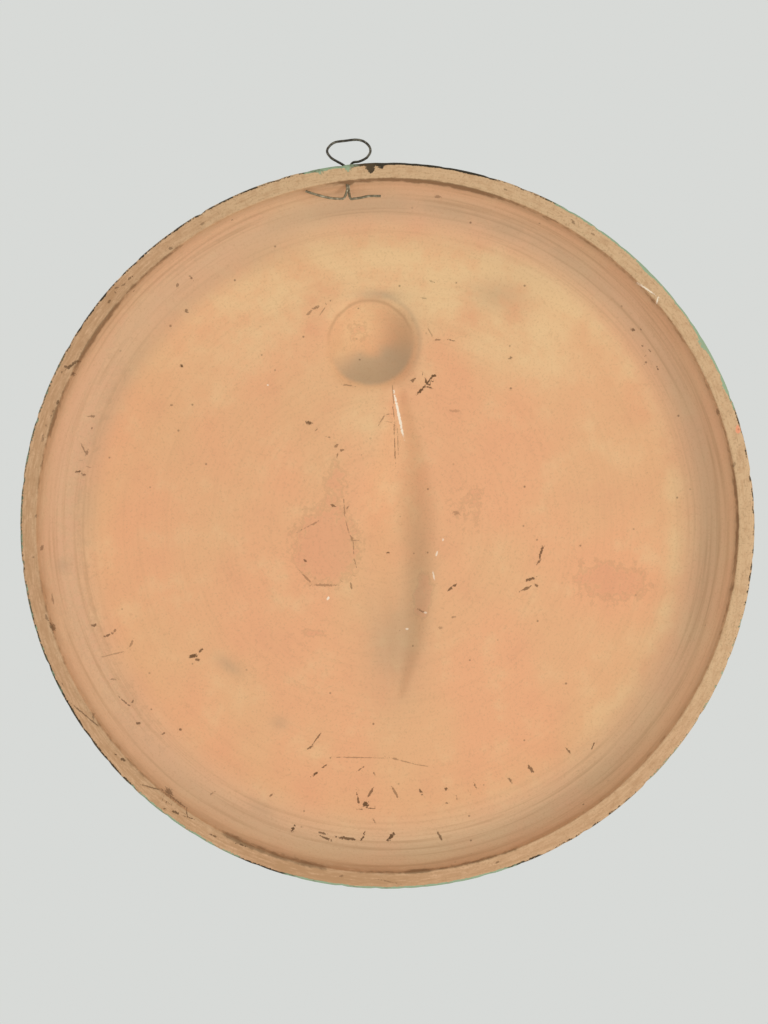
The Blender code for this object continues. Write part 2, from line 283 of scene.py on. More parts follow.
def relief_height(x, y, radius):
    """Height of the front's relief over its ground: a soft maximum of all the forms."""
    boss, petals = flower_height(x, y)
    leaf = leaf_height(x, y, LEAF_SPINE, LEAF_HALF_WIDTH, LEAF_HEIGHT)
    right = leaf_height(x, y, SIDE_LEAF_SPINE, SIDE_LEAF_HALF_WIDTH, SIDE_LEAF_HEIGHT)
    left = leaf_height(-x, y, SIDE_LEAF_SPINE, SIDE_LEAF_HALF_WIDTH, SIDE_LEAF_HEIGHT)
    ring_share = 1 - ((radius - RING_RADIUS) / RING_HALF_WIDTH) ** 2
    ring = np.where(ring_share > 0, RING_HEIGHT * np.sqrt(np.maximum(ring_share, 0)), FAR_BELOW)
    forms = np.stack([np.zeros_like(x), boss, petals, leaf, right, left, ring])
    highest = forms.max(axis=0)
    return highest + JOIN_SOFTNESS * np.log(np.exp((forms - highest) / JOIN_SOFTNESS).sum(axis=0))


def soft_spot(x, y, place, size, slope):
    """A blurred oval: exp(-q^2), where q is the distance as a share of its half sizes, all in mm."""
    turn = math.radians(slope)
    gap_x = x / MM - place[0]
    gap_y = y / MM - place[1]
    along = (gap_x * math.cos(turn) + gap_y * math.sin(turn)) / size[0]
    across = (gap_y * math.cos(turn) - gap_x * math.sin(turn)) / size[1]
    return np.exp(-(along**2) - across**2)


def soft_arc(share, heading, place, half_width, middle, spread):
    """A blurred arc round the plaque at a share of its radius, strongest at its middle, in degrees."""
    turn = np.abs((np.degrees(heading) - middle + 180) % 360 - 180)
    return np.exp(-(((share - place) / half_width) ** 2)) * (1 - smooth_step(turn, 0.6 * spread, spread))


# Marks in the bare clay, and a few lines of painted shade, as right, up, length and width in mm, slope in
# degrees, and strength
MARK_MARGIN = 4.5
DARK_MARKS_AND_SHADE_LINES = [
    (14.7, 81.3, 4.0, 1.3, 50, 0.8),
    (21.5, 80.7, 4.8, 1.0, 100, 1.0),
    (23.8, 81.5, 5.0, 1.0, 55, 1.0),
    (25.7, 83.3, 3.2, 1.1, 10, 1.0),
    (23.5, 76.8, 3.0, 1.0, -20, 0.9),
    (18.2, 74.8, 6.5, 1.2, 45, 1.0),
    (-31.7, 125.0, 3.0, 1.0, 10, 0.6),
    (-40.3, 121.1, 3.2, 1.1, 20, 0.6),
    (-43.0, 118.9, 4.0, 1.0, 45, 0.5),
    (-35.5, 120.2, 6.5, 0.6, 56, 0.5),
    (27.7, 103.3, 4.0, 1.0, 0, 0.6),
    (35.8, 103.0, 4.5, 0.9, -15, 0.7),
    (23.8, 107.7, 5.0, 0.6, -60, 0.4),
    (-43.8, 57.0, 3.0, 1.7, -20, 0.9),
    (85.6, -15.4, 6.0, 1.3, 75, 0.9),
    (83.9, -21.0, 4.0, 1.2, 60, 0.8),
    (80.0, -29.9, 6.0, 1.3, 20, 0.9),
    (77.8, -34.9, 7.0, 1.2, 25, 0.8),
    (82.8, -33.2, 3.0, 1.1, -40, 0.8),
    (-107.7, -72.6, 3.6, 1.6, 10, 1.0),
    (-104.2, -69.8, 2.8, 1.2, 40, 0.9),
    (-105.6, -74.7, 2.2, 1.3, 0, 0.8),
    (-162.8, -55.3, 3.6, 1.2, -10, 0.8),
    (-154.6, -60.8, 5.0, 1.3, 20, 0.8),
    (-151.4, -58.3, 2.2, 1.0, 70, 0.6),
    (-152.0, -71.4, 12.0, 0.6, 13, 0.4),
    (-142.2, -65.5, 3.6, 0.8, 65, 0.5),
    (-145.0, -97.8, 7.0, 0.9, -40, 0.7),
    (-141.0, -97.4, 3.2, 0.9, 75, 0.7),
    (-151.7, -85.0, 3.0, 1.2, 0, 0.5),
    (-114.4, 88.8, 1.8, 1.6, 0, 1.0),
    (-170.8, 29.8, 3.0, 1.6, 0, 0.9),
    (-168.4, 28.0, 1.8, 1.2, 0, 0.7),
    (-163.5, 60.5, 4.0, 1.0, 0, 0.6),
    (-168.1, 42.1, 6.0, 0.7, -65, 0.6),
    (-166.7, 39.9, 3.0, 1.0, 70, 0.6),
    (-38.8, -118.0, 9.5, 0.8, 55, 0.8),
    (-43.3, -123.7, 4.0, 1.0, 30, 0.8),
    (-35.2, -134.1, 3.4, 1.0, 35, 0.9),
    (-39.6, -137.9, 5.0, 1.1, 38, 1.0),
    (-15.0, -135.6, 4.6, 0.7, 35, 0.7),
    (-13.5, -129.3, 31.0, 0.5, -1, 0.5),
    (8.7, -131.2, 14.0, 0.5, -14, 0.5),
    (21.0, -133.9, 13.0, 0.5, -9, 0.4),
    (-16.3, -152.2, 6.5, 0.9, -78, 0.9),
    (-12.2, -155.2, 3.2, 2.2, 45, 1.0),
    (-15.0, -157.7, 5.0, 0.8, 0, 0.7),
    (-9.3, -148.4, 4.0, 0.9, 60, 0.8),
    (-7.6, -137.9, 3.0, 1.0, -70, 0.7),
    (4.2, -148.4, 5.0, 0.8, -60, 0.6),
    (18.5, -147.8, 3.6, 1.3, -65, 0.9),
    (32.8, -146.5, 1.9, 1.6, 0, 0.9),
    (32.7, -154.1, 2.6, 1.2, -20, 0.7),
    (38.7, -151.6, 3.2, 0.8, -75, 0.6),
    (-7.6, -163.4, 4.0, 0.9, -60, 0.7),
    (-52.1, -167.3, 3.6, 1.4, 60, 1.0),
    (-36.1, -170.2, 4.6, 1.0, -15, 0.8),
    (-34.2, -172.7, 9.5, 1.0, -22, 0.9),
    (-22.0, -173.2, 9.0, 1.0, -8, 0.9),
    (-13.7, -172.7, 4.2, 1.2, 60, 1.0),
    (2.3, -172.0, 4.2, 1.4, 50, 1.0),
    (29.1, -172.0, 5.0, 0.9, -60, 0.8),
    (48.8, -144.6, 3.2, 1.1, -60, 0.7),
    (68.3, -141.8, 3.2, 1.1, -60, 0.7),
    (79.5, -135.1, 3.6, 1.2, -60, 0.8),
    (100.6, -125.1, 4.0, 1.2, -50, 0.8),
    (114.0, -122.3, 4.4, 0.9, 70, 0.8),
    (136.0, 108.3, 1.6, 1.3, 0, 0.8),
    (139.8, 108.8, 2.8, 0.9, -60, 0.8),
    (141.5, 99.4, 1.5, 1.0, 30, 0.7),
    (145.2, 96.8, 2.4, 0.8, -50, 0.6),
    (149.1, 87.8, 3.0, 1.1, -65, 0.8),
    (143.2, 90.4, 2.4, 1.2, 30, 0.6),
    (3.2, 72.1, 10.0, 0.6, 94, 0.5),
    (3.7, 61.5, 12.0, 0.6, -82, 0.6),
    (4.1, 45.9, 20.0, 0.6, 92, 0.6),
    (5.9, 46.4, 10.0, 0.6, -88, 0.4),
    (-3.0, 59.0, 6.6, 0.6, 58, 0.5),
    (0.6, 61.9, 4.4, 0.6, 5, 0.5),
    (-172.2, 86.8, 5.0, 1.3, 30, 0.9),
    (-168.6, 89.3, 2.6, 1.1, 20, 0.8),
    (-179.3, 66.9, 2.6, 1.2, 75, 0.8),
    (-182.0, 62.0, 5.0, 1.0, 70, 0.5),
    (-29.9, 10.8, 3.5, 1.1, -25, 0.8),
    (-22.0, 10.2, 2.5, 0.8, 60, 0.6),
    # These six thin lines are painted shade along the raised right edge of the spalled patch.
    (-23.9, 8.3, 8.5, 0.6, -87, 0.5),
    (-22.4, -0.3, 9.0, 0.6, -75, 0.5),
    (-20.2, -6.6, 4.6, 0.6, -62, 0.5),
    (-17.9, -8.4, 4.0, 0.6, 0, 0.4),
    (-18.8, -13.2, 9.0, 0.6, -87, 0.5),
    (-18.0, -20.1, 5.0, 0.6, -77, 0.5),
    (-43.0, 0.0, 12.5, 0.8, 28, 0.45),
    (-45.2, -29.2, 10.0, 0.9, -48, 0.5),
    (-35.5, -33.2, 12.0, 1.0, 0, 0.5),
    (-45.8, -19.7, 2.0, 1.2, -20, 0.8),
    (0.3, -15.2, 1.8, 1.2, 0, 0.9),
    (-20.2, -33.6, 3.5, 0.8, -80, 0.6),
    (35.2, -35.4, 3.2, 1.2, 40, 0.9),
    (37.6, -33.2, 1.8, 1.0, 40, 0.9),
    (38.3, 6.7, 3.0, 2.6, 0, 0.4),
    (36.6, -51.2, 2.0, 1.2, 0, 0.5),
    (18.4, -47.5, 4.0, 1.0, -25, 0.6),
    (29.8, -56.9, 1.5, 1.2, 0, 0.4),
    (-33.0, 49.2, 3.0, 1.0, -15, 0.5),
    (-28.6, 44.2, 3.0, 1.2, 40, 0.6),
    (-24.7, 42.0, 3.4, 1.2, 10, 0.7),
    (-27.9, 38.6, 2.2, 1.0, 80, 0.6),
    (-14.7, 39.2, 2.0, 1.4, 20, 0.7),
    (-20.8, 77.9, 6.0, 0.7, -8, 0.5),
    (20.2, 126.6, 3.6, 0.8, -10, 0.4),
    (38.5, 135.0, 1.8, 1.2, 0, 0.6),
    (24.9, 135.8, 2.2, 0.9, -20, 0.6),
    (37.7, 63.7, 5.0, 1.2, 0, 0.3),
    (68.6, 93.2, 1.8, 1.2, 30, 0.7),
    (-108.6, 137.0, 2.5, 1.2, -50, 0.7),
    (-116.2, 132.6, 2.6, 1.0, 80, 0.6),
    (-111.3, 119.1, 1.8, 1.6, 0, 0.7),
    (-120.6, 110.8, 1.5, 1.1, 0, 0.6),
    (-120.2, 66.8, 1.6, 1.2, 0, 0.6),
    (-163.7, 53.5, 2.4, 1.1, 80, 0.7),
    (-171.1, 82.7, 2.2, 1.2, 60, 0.8),
    (-176.7, 83.6, 2.0, 1.2, 40, 0.6),
    (-139.9, 134.6, 2.4, 1.3, 40, 0.8),
    (-143.6, 131.0, 2.0, 1.2, 30, 0.6),
    (-185.2, -50.0, 3.4, 1.0, -75, 0.6),
    (-182.6, -55.0, 4.5, 1.4, -70, 0.8),
    (-183.5, -40.8, 6.0, 0.7, -80, 0.5),
    (-176.5, -86.6, 3.4, 0.9, -58, 0.7),
    (-163.3, -103.9, 17.0, 0.7, -40, 0.7),
    (-160.0, -103.6, 2.6, 0.9, -80, 0.6),
    (-157.4, -108.9, 2.6, 1.1, -50, 0.8),
    (-147.9, -124.4, 2.8, 1.0, -35, 0.9),
    (-143.5, -127.3, 2.6, 1.1, -35, 0.9),
    (-128.3, -142.4, 9.7, 0.7, -15, 0.7),
    (-119.6, -145.6, 4.0, 2.0, -38, 0.7),
    (-116.0, -149.4, 15.0, 0.7, -37, 0.7),
    (-121.6, -153.8, 3.0, 0.9, -15, 0.8),
    (-115.3, -156.0, 3.6, 1.0, -22, 0.9),
    (-107.6, -158.8, 5.0, 0.9, -20, 0.8),
    (-94.3, -168.6, 3.4, 0.9, -20, 0.8),
    (-80.4, -173.2, 6.5, 0.9, -18, 0.8),
    (1.0, -193.6, 12.0, 0.5, -12, 0.5),
    (-137.5, -109.5, 2.0, 1.5, 0, 0.8),
    (-124.4, -115.5, 2.8, 1.0, 20, 0.7),
    (-114.7, -113.3, 2.0, 1.2, 20, 0.8),
    (-64.6, -149.9, 3.0, 1.1, 40, 0.7),
    (-96.9, -148.1, 2.4, 1.2, 30, 0.5),
    (-151.2, 122.0, 2.6, 1.2, 50, 0.7),
    (-147.0, 129.5, 2.2, 1.0, 20, 0.6),
    (-174.8, 86.4, 1.8, 1.2, 0, 0.8),
    (-187.4, 47.5, 4.0, 1.2, 78, 0.5),
    (-189.0, -12.0, 2.4, 1.0, 80, 0.6),
    (-191.5, 5.0, 2.0, 1.0, 60, 0.5),
    (-100.5, 164.2, 3.0, 1.0, 30, 0.5),
    (-118.0, 151.0, 2.4, 1.2, 35, 0.6),
    (64.0, 183.0, 2.0, 0.9, -20, 0.5),
    (101.0, 165.0, 2.4, 1.0, -60, 0.6),
    (112.0, 158.5, 2.0, 1.0, -30, 0.5),
    (180.0, 62.0, 2.6, 1.0, -70, 0.6),
    (188.5, 33.0, 2.0, 1.0, 70, 0.5),
    (-24.0, -190.5, 3.0, 1.0, 10, 0.5),
    (60.0, -183.0, 3.0, 1.0, 18, 0.6),
    (28.0, 181.0, 3.0, 1.1, -5, 0.5),
]
PALE_MARKS = [
    (6.5, 61.1, 23.0, 1.5, -78, 1.0),
    (141.4, 128.4, 14.0, 0.8, -35, 0.8),
    (146.8, 122.4, 3.6, 0.8, 80, 0.8),
    (-33.0, -40.5, 2.0, 1.4, 60, 0.9),
    (-66.5, 78.2, 1.2, 1.0, 0, 0.9),
    (-130.6, 148.4, 3.2, 1.0, 40, 0.9),
    (25.8, -27.9, 4.5, 0.8, -80, 0.7),
    (27.5, -15.9, 2.6, 0.9, 75, 0.7),
    (31.0, -8.0, 1.6, 1.0, 80, 0.6),
    (21.3, -48.7, 2.0, 1.1, 0, 0.6),
    (11.0, -58.0, 1.6, 1.1, 0, 0.7),
]


def mark_layer(x, y, marks):
    """Where each point lies on the mark nearest to it, and whether it is near enough to show.

    A mark is its middle right of and above the plaque's centre, its length and width in mm, its
    slope in degrees and its strength. A point's place along and across the mark is a share of
    its half length and half width, so the mark is where the two squares add up to less than 1.
    """
    right, up, length, width, slope, strength = np.array(marks).T
    turn = np.radians(slope)
    gap_x = x[:, None] / MM - right
    gap_y = y[:, None] / MM - up
    along = gap_x * np.cos(turn) + gap_y * np.sin(turn)
    across = gap_y * np.cos(turn) - gap_x * np.sin(turn)
    distance = np.hypot(np.maximum(np.abs(along) - length / 2, 0.0), across)
    nearest = distance.argmin(axis=1)
    rows = np.arange(len(x))
    near = distance[rows, nearest] < MARK_MARGIN
    shares = (2 * along / length)[rows, nearest], (2 * across / width)[rows, nearest]
    return np.column_stack([*shares, strength[nearest] * near])


UNEVEN_SIZE = 0.12 * MM
NICK_DEPTH = 0.9 * MM
NICK_LEVEL = 0.20
CORNER_REACH = 1.5 * MM
CORNER_DEPTH = 5.0 * MM
RELIEF_START = 20.0 * MM
PRESSED_DEPTH = 0.35 * MM
PRESSED_PITCH = 70.0 * MM
FINGER_DEPTH = 0.12 * MM
FINGER_PITCH = 22.0 * MM
TURNED_DEPTH = 0.16 * MM
TURNED_PITCH = 5.5 * MM
RIM_WAVE = 0.25 * MM

radii, depths, on_front = dish_section()
angles = np.linspace(0.0, math.tau, COLUMNS, endpoint=False)
radius = np.repeat(radii[:, None], COLUMNS, axis=1).ravel()
depth = np.repeat(depths[:, None], COLUMNS, axis=1).ravel()
front = np.repeat(on_front[:, None], COLUMNS, axis=1).ravel()
heading = np.tile(angles, ROWS)
share = radius / HALF_WIDTH

# The outline is a little uneven, and the rim's outer corner is nicked
uneven = waves(heading, seed=3, orders=(2, 3, 5, 8, 13), size=UNEVEN_SIZE) - UNEVEN_SIZE
nicks = waves(heading, seed=8, orders=(61, 83, 109, 137), size=1.0)
nicks = NICK_DEPTH * np.minimum(nicks + NICK_LEVEL, 0.0)
corner = np.exp(-(((radius - HALF_WIDTH) / CORNER_REACH) ** 2)) * (depth < CORNER_DEPTH)
flat_radius = radius + share**6 * uneven + corner * nicks
flat_x = flat_radius * np.cos(heading)
flat_y = flat_radius * np.sin(heading) * HALF_HEIGHT / HALF_WIDTH

# Hollows in the back, relief on the front, and the marks of hands and of the wheel on both
inside = ~front & (share < 0.97)
pressed = np.where(inside, hollow_depth(flat_x, flat_y), 0.0)
raised = np.where(front & (depth > RELIEF_START), relief_height(flat_x, flat_y, radius), 0.0)
floor_share = 1 - smooth_step(share, 0.90, 0.96)
worked = PRESSED_DEPTH * ripples(flat_x, flat_y, seed=5, pitch=PRESSED_PITCH, count=9)
worked = worked + FINGER_DEPTH * ripples(flat_x, flat_y, seed=6, pitch=FINGER_PITCH, count=9)
turned = np.sin(radius / TURNED_PITCH * math.tau + 2.0 * np.sin(heading * 2))
turned = TURNED_DEPTH * turned * smooth_step(share, 0.72, 0.86) * ~front
surface = floor_share * (worked + turned)
rim_wave = waves(heading, seed=21, orders=(2, 3, 7, 11, 19), size=RIM_WAVE) + RIM_WAVE
rim_wave = rim_wave * (1 - floor_share) * ~front
front_rise = np.maximum(raised, 0) + np.minimum(surface, 0)
flat_depth = depth + pressed + np.where(front, front_rise, surface + rim_wave)

# Arcs, as share of the radius, half width, middle and spread in degrees, and strength.
# Spots, as place and half sizes in mm, slope in degrees, and strength.
CREAM_ARCS = [
    (0.805, 0.030, 15, 70, 0.95),
    (0.790, 0.040, 85, 60, 0.25),
    (0.680, 0.130, 92, 60, 0.95),
    # A painted highlight along the ridge of the rim's inner edge.
    (0.964, 0.005, 40, 75, 0.80),
    (0.900, 0.050, 318, 60, 0.55),
    (0.920, 0.030, 268, 30, 0.55),
    (0.760, 0.060, 95, 35, 0.35),
]
CREAM_SPOTS = [
    ((-8, 62), (26, 30), 0, 0.6),
    ((60, 110), (70, 18), -30, 0.5),
]
GRIME_AND_SHADE_ARCS = [
    (0.912, 0.030, 270, 60, 0.25),
    (0.890, 0.040, 45, 80, 0.25),
    (0.900, 0.030, 100, 60, 0.22),
    (0.840, 0.035, 145, 45, 0.30),
    (0.800, 0.030, 88, 40, 0.10),
    # Painted shadow under the rim's inner edge.
    (0.953, 0.007, 40, 110, 0.35),
    (0.955, 0.010, 200, 90, 0.30),
]
GRIME_AND_SHADE_SPOTS = [
    # Painted shade on the round hollow's right-hand slope.
    ((8, 104), (11, 19), 0, 0.4),
    ((4, -66), (15, 30), 0, 0.55),
    # Painted shade on the long hollow's right-hand slope.
    ((17, -20), (9, 36), 0, 0.35),
    ((-5, 128), (12, 3), 0, 0.5),
    ((-88, -78), (9, 4), -35, 0.45),
    ((-60, -110), (5, 4), 0, 0.35),
    ((-70, -157), (9, 4), -30, 0.35),
    ((-179, -22), (4, 4), 0, 0.4),
    ((62, 128), (16, 9), -10, 0.4),
]
PINK_ARCS = [
    (0.930, 0.020, 150, 55, 0.45),
    (0.880, 0.060, 185, 50, 0.45),
]
PINK_SPOTS = [
    ((-34, -12), (19, 22), 0, 0.95),
    ((-29, 26), (8, 14), 0, 0.5),
    ((46, 12), (14, 20), 0, 0.4),
    ((125, -31), (24, 13), -8, 0.7),
    ((-42, -60), (13, 3), 0, 0.5),
    ((-17, 108), (9, 12), 0, 0.42),
    ((20, -39), (5, 13), -8, 1.0),
    ((190.6, 52.2), (2.6, 3.8), 0, 1.8),
]
BROWNED_ARCS = [
    (0.978, 0.030, 200, 95, 0.85),
    (0.978, 0.030, 290, 50, 0.55),
]
BROWNED_SPOTS = [
    ((-149.7, 126.5), (6, 4), 40, 0.5),
    ((-188, -38), (3, 6), 0, 0.5),
]
SOOT_AND_RIM_SHADOW_ARCS = [
    # At the top (86) and on the right (38, 335) these arcs are painted shadow under the rim's inner edge;
    # the others are dark stains along it.
    (0.954, 0.005, 86, 18, 0.50),
    (0.955, 0.005, 138, 16, 0.50),
    (0.955, 0.005, 153, 14, 0.42),
    (0.956, 0.005, 168, 10, 0.36),
    (0.956, 0.005, 196, 12, 0.36),
    (0.956, 0.005, 222, 16, 0.36),
    (0.957, 0.008, 251, 12, 0.62),
    (0.956, 0.005, 270, 8, 0.42),
    (0.956, 0.004, 283, 12, 0.52),
    (0.954, 0.004, 38, 62, 0.36),
    (0.954, 0.004, 335, 45, 0.24),
]
# A painted dark spot for the shade inside the hole where the wire goes in.
HOLE_SHADE_SPOTS = [((-21.6, 187.0), (1.6, 0.8), 0, 0.9)]
GREEN_EDGE_ARCS = [
    (1.0, 0.03, 41, 28, 0.95),
    (1.0, 0.05, 99, 6, 0.68),
    (1.0, 0.03, 236, 14, 0.70),
    (1.0, 0.03, 272, 24, 0.80),
    (1.0, 0.03, 180, 40, 0.45),
    (1.0, 0.03, 330, 25, 0.50),
]
PAINTED_EDGE_ARCS = [
    (1.0, 0.02, 84, 12, 0.40),
    (1.0, 0.02, 160, 80, 0.06),
    (1.0, 0.02, 245, 60, 0.10),
    (1.0, 0.02, 272, 24, 0.12),
    (1.0, 0.02, 41, 28, 0.14),
]
PAINTED_EDGE_SPOTS = [
    ((-36.6, 192.8), (5.5, 3.0), 10, 0.50),
    ((-20.3, 194.4), (6, 3.2), 4, 0.50),
    ((-9.0, 194.6), (3.0, 3.8), 0, 0.8),
    ((-3.0, 195.4), (1.2, 2.4), 0, 0.6),
    ((170.5, 98.5), (2.2, 7.0), 30, 0.45),
    ((183.0, 75.5), (1.8, 4.0), 22, 0.45),
    ((141.0, 138.0), (1.6, 5.0), 45, 0.40),
]
EDGE_PAINT = 0.40
SIDE_PAINT_START = 1.6 * MM
SIDE_PAINT_END = 3.2 * MM


def arcs(rows):
    """The sum of the rows' soft arcs, each times its strength."""
    total = np.zeros_like(flat_x)
    for place, half_width, middle, spread, strength in rows:
        total = total + strength * soft_arc(share, heading, place, half_width, middle, spread)
    return total


def spots(rows):
    """The sum of the rows' soft spots, each times its strength."""
    total = np.zeros_like(flat_x)
    for place, size, slope, strength in rows:
        total = total + strength * soft_spot(flat_x, flat_y, place, size, slope)
    return total


cloud = 0.5 + 0.9 * ripples(flat_x, flat_y, seed=31, pitch=95 * MM, count=12)
cloud = cloud + 0.4 * ripples(flat_x, flat_y, seed=32, pitch=40 * MM, count=12)
cream = arcs(CREAM_ARCS) + spots(CREAM_SPOTS)
grime_and_shade = arcs(GRIME_AND_SHADE_ARCS) + spots(GRIME_AND_SHADE_SPOTS)
pink = arcs(PINK_ARCS) + spots(PINK_SPOTS)
browned = arcs(BROWNED_ARCS) + spots(BROWNED_SPOTS)
soot_and_rim_shadow = arcs(SOOT_AND_RIM_SHADOW_ARCS) + spots(HOLE_SHADE_SPOTS)
on_corner = smooth_step(radius, HALF_WIDTH - 2.2 * MM, HALF_WIDTH - 0.9 * MM)
bare_edge = on_corner * (EDGE_PAINT + arcs(PAINTED_EDGE_ARCS)) + spots(PAINTED_EDGE_SPOTS)
round_side = smooth_step(depth, SIDE_PAINT_START, SIDE_PAINT_END) * front
painted = np.maximum(round_side, bare_edge)


def blurred(values, reach):
    """Mean of a value over the neighbouring rows and columns of the grid."""
    grid = values.reshape(ROWS, COLUMNS)
    total = sum(np.roll(grid, step, axis=1) for step in range(-reach, reach + 1)) / (2 * reach + 1)
    padded = np.pad(total, ((reach, reach), (0, 0)), mode="edge")
    total = sum(padded[step : step + ROWS] for step in range(2 * reach + 1)) / (2 * reach + 1)
    return total.ravel()


# Verdigris settles where the relief is low, and the paint is worn off where it stands proud
LOWNESS_SCALE = 1.2 * MM
sunk = (blurred(raised, 3) - raised) / LOWNESS_SCALE
on_side = round_side > 0.5
patchy = ripples(flat_x, flat_y, seed=41, pitch=60 * MM, count=9)
verdigris = np.where(on_side, 0.34 + 0.9 * sunk + 0.4 * patchy, np.clip(arcs(GREEN_EDGE_ARCS), 0, 1))
rubbed = np.clip(-sunk, 0, 1) + 0.35 * ripples(flat_x, flat_y, seed=42, pitch=45 * MM, count=9)
worn = np.where(on_side, rubbed, 0.0)


def ring_mesh(name, points):
    """Closed skin over rows of points, with one point at each pole; faces turn outwards."""
    grid = np.arange(ROWS * COLUMNS).reshape(ROWS, COLUMNS)[1:-1] - COLUMNS + 1
    following = np.roll(grid, -1, axis=1)
    quads = np.stack([grid[:-1], grid[1:], following[1:], following[:-1]], axis=-1).reshape(-1, 4)
    last = grid[-1, -1] + 1
    back = np.column_stack([np.zeros(COLUMNS, int), grid[0], following[0]])
    face = np.column_stack([np.full(COLUMNS, last), following[-1], grid[-1]])
    mesh = bpy.data.meshes.new(name)
    mesh.from_pydata(points, [], [*back.tolist(), *quads.tolist(), *face.tolist()])
    mesh.shade_smooth()
    return mesh


kept = np.concatenate([[0], np.arange(COLUMNS, (ROWS - 1) * COLUMNS), [(ROWS - 1) * COLUMNS]])
places = np.column_stack([CENTRE_X + flat_x, RIM_Y + flat_depth, CENTRE_Z + flat_y])[kept]
plaque_mesh = ring_mesh("plaque_clay", places)
masks = {
    "reach": share,
    "cloud": cloud,
    "cream": cream,
    "grime_and_shade": grime_and_shade,
    "pink": pink,
    "browned": browned,
    "soot_and_rim_shadow": soot_and_rim_shadow,
    "painted": painted,
    "verdigris": verdigris,
    "worn": worn,
}
for label, values in masks.items():
    layer = plaque_mesh.attributes.new(label, "FLOAT", "POINT")
    layer.data.foreach_set("value", values[kept].astype(np.float32))
MARK_LAYERS = {
    "dark_one": DARK_MARKS_AND_SHADE_LINES[::3],
    "dark_two": DARK_MARKS_AND_SHADE_LINES[1::3],
    "dark_three": DARK_MARKS_AND_SHADE_LINES[2::3],
    "pale_one": PALE_MARKS[::2],
    "pale_two": PALE_MARKS[1::2],
}
for label, marks in MARK_LAYERS.items():
    layer = plaque_mesh.attributes.new(label, "FLOAT_VECTOR", "POINT")
    values = mark_layer(flat_x, flat_y, marks)
    values[front, 2] = 0.0
    layer.data.foreach_set("vector", values[kept].astype(np.float32).ravel())
plaque = bpy.data.objects.new("plaque_clay", plaque_mesh)
bpy.context.collection.objects.link(plaque)


def add_node(tree, kind, inputs=None, **settings):
    """A node with its settings; an input is a value, or a socket to link from."""
    node = tree.nodes.new(kind)
    for key, value in settings.items():
        setattr(node, key, value)
    for key, value in (inputs or {}).items():
        if isinstance(value, bpy.types.NodeSocket):
            tree.links.new(value, node.inputs[key])
        else:
            node.inputs[key].default_value = value
    return node


def combine(tree, operation, first, second=0.0):
    """One sum, product or other operation on two values, or on the first alone."""
    return add_node(tree, "ShaderNodeMath", {0: first, 1: second}, operation=operation).outputs[0]


def fade(tree, value, low, high, top=1.0):
    """Eases from 0 where the value is low to top where it is high."""
    inputs = {"Value": value, "From Min": low, "From Max": high, "To Min": 0.0, "To Max": top}
    return add_node(tree, "ShaderNodeMapRange", inputs, interpolation_type="SMOOTHSTEP").outputs["Result"]


def mix(tree, share, first, second):
    """The first colour, covered by this share of the second."""
    node = add_node(tree, "ShaderNodeMix", data_type="RGBA")
    for key, value in ((0, share), (6, first), (7, second)):
        if isinstance(value, bpy.types.NodeSocket):
            tree.links.new(value, node.inputs[key])
        else:
            node.inputs[key].default_value = value
    return node.outputs[2]


def noise(tree, where, scale, detail, roughness):
    """Cloudy noise from 0 to 1; scale is how many of its cells go to one unit of the place."""
    inputs = {"Vector": where, "Scale": scale, "Detail": detail, "Roughness": roughness}
    return add_node(tree, "ShaderNodeTexNoise", inputs).outputs["Fac"]


def read_mask(tree, label):
    """A value kept in the mesh at each of its points."""
    return add_node(tree, "ShaderNodeAttribute", attribute_name=label).outputs["Fac"]


def colour(red, green, blue):
    """A colour from 8-bit sRGB values, as the linear values that Blender mixes."""
    shares = [value / 255 for value in (red, green, blue)]
    linear = [part / 12.92 if part <= 0.04045 else ((part + 0.055) / 1.055) ** 2.4 for part in shares]
    return (*linear, 1.0)


BUFF = colour(226, 173, 128)
PINK_BUFF = colour(230, 169, 126)
CREAM = colour(230, 191, 143)
ROSE = colour(219, 153, 117)
TAN = colour(204, 170, 130)
WALL_BUFF = colour(214, 180, 146)
LOW_GREY = colour(182, 160, 130)
BROWN = colour(180, 138, 100)
GRIME_AND_SHADE = colour(166, 144, 115)
SOOT_AND_SHADE = colour(90, 63, 37)
STAIN = colour(128, 98, 68)
SALMON = colour(234, 148, 112)
CHALK = colour(242, 226, 204)
PAINT_DARK = colour(56, 49, 37)
PAINT_GREEN = colour(156, 176, 143)
PAINT_BROWN = colour(84, 68, 48)


def part_of(tree, value, share):
    """The product of a value and a share of it."""
    return combine(tree, "MULTIPLY", value, share)


def marks_mask(tree, label, ragged):
    """Mask of one layer of marks: ovals whose edge a fine noise makes ragged."""
    layer = add_node(tree, "ShaderNodeAttribute", attribute_name=label).outputs["Vector"]
    apart = add_node(tree, "ShaderNodeSeparateXYZ", {0: layer}).outputs
    along = part_of(tree, apart[0], apart[0])
    across = part_of(tree, apart[1], apart[1])
    reach = combine(tree, "SQRT", combine(tree, "ADD", along, across))
    return part_of(tree, fade(tree, combine(tree, "ADD", reach, ragged), 1.2, 0.75), apart[2])


def ring_noise(tree, heading, reach, along, across):
    """Noise drawn out round the plaque; its pitch is the radius over along, and over across."""
    rise = add_node(tree, "ShaderNodeCombineXYZ", {"Y": part_of(tree, reach, across)}).outputs[0]
    inputs = {0: heading, 1: (along, 1.0, along), 2: rise}
    where = add_node(tree, "ShaderNodeVectorMath", inputs, operation="MULTIPLY_ADD").outputs[0]
    return noise(tree, where, scale=1.0, detail=3.0, roughness=0.62)


def one_side(tree, heading, right, up, low, high):
    """1 where the heading points towards right and up, 0 where it points away."""
    inputs = {0: heading, 1: (right, 0.0, up)}
    leaning = add_node(tree, "ShaderNodeVectorMath", inputs, operation="DOT_PRODUCT").outputs["Value"]
    return fade(tree, leaning, low, high)


